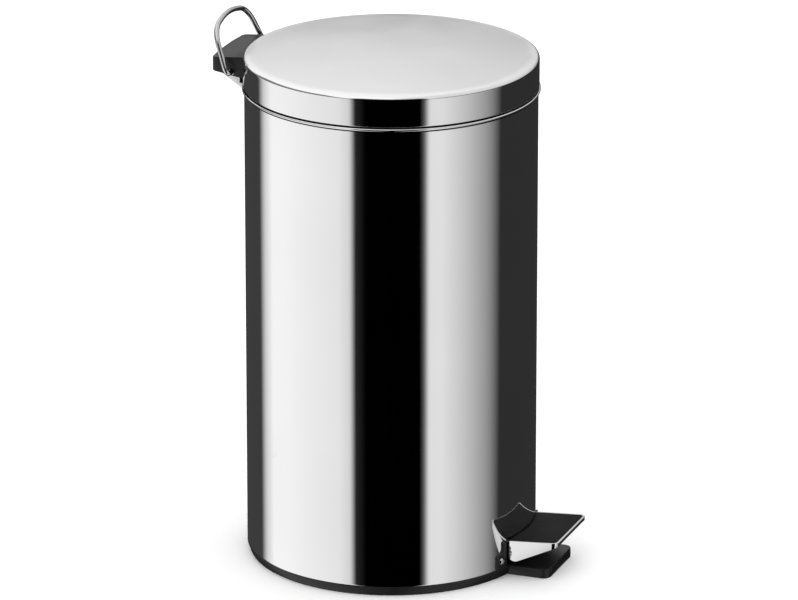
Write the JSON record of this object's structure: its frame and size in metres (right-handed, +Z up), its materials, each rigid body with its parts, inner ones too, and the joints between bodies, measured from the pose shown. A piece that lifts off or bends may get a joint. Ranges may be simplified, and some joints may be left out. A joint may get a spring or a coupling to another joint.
{
  "type": "pedal bin",
  "caption": "Round pedal bin: polished steel drum with a hinged domed lid, foot pedal and push rod, lift-out bucket and a swinging wire carry handle.",
  "frame": {"origin": "on the floor, at the drum's axis", "axes": "+Z up; -Y towards the pedal; +Y towards the hinge; +X to the right of someone facing away from the pedal"},
  "size_m": [0.2537, 0.3171, 0.4685],
  "materials": {
    "polished_steel": "mirror polished stainless steel",
    "satin_steel": "satin stainless steel",
    "black_plastic": "black moulded plastic",
    "grey_plastic": "grey moulded plastic",
    "black_rubber": "matte black rubber",
    "chrome_wire": "chrome plated wire",
    "zinc_steel": "zinc plated steel",
    "nylon": "natural nylon"
  },
  "bodies": {
    "drum": {"drum_shell": "polished_steel", "base": "black_plastic", "slot_trims": "black_plastic", "slot_screws": "chrome_wire", "floor_plate": "zinc_steel", "fulcrum_bracket": "zinc_steel", "fulcrum_rivets": "zinc_steel", "fulcrum_pin": "zinc_steel", "pin_clips": "zinc_steel", "rod_bush": "nylon", "rod_guide": "nylon", "hinge_bracket": "satin_steel", "hinge_rivets": "satin_steel", "hinge_tube": "zinc_steel", "hinge_spacers": "nylon", "bucket": "grey_plastic", "bucket_handle": "zinc_steel"},
    "lid": {"lid_shell": "satin_steel", "lid_arm": "zinc_steel", "hinge_cover": "black_plastic", "cover_screws": "zinc_steel", "lid_seal": "black_rubber"},
    "pedal": {"pedal_plate": "polished_steel", "pedal_pad": "black_rubber", "pedal_lever": "zinc_steel", "pedal_rivets": "zinc_steel"},
    "rod": {"push_rod": "zinc_steel", "rod_foot": "nylon"},
    "handle": {"carry_handle": "chrome_wire"}
  },
  "joints": [
    {"name": "lid_hinge", "type": "hinge", "parent": "drum", "child": "lid", "pos_m": [0, 0.132, 0.4247], "axis": [-1, 0, 0], "range_deg": [0, 52]},
    {"name": "pedal_pivot", "type": "hinge", "parent": "drum", "child": "pedal", "pos_m": [0, -0.06, 0.0303], "axis": [1, 0, 0], "range_deg": [0, 5.09]},
    {"name": "rod_slide", "type": "slide", "parent": "drum", "child": "rod", "axis": [0, 0, 1], "range_m": [0, 0.01566]},
    {"name": "handle_swing", "type": "hinge", "parent": "drum", "child": "handle", "pos_m": [0, 0.132, 0.4247], "axis": [-1, 0, 0], "range_deg": [0, 150]}
  ],
  "couplings": [
    {"joint": "pedal_pivot", "follows": "lid_hinge", "ratio": 0.097455},
    {"joint": "rod_slide", "follows": "lid_hinge", "m_per_rad": 0.017197}
  ]
}
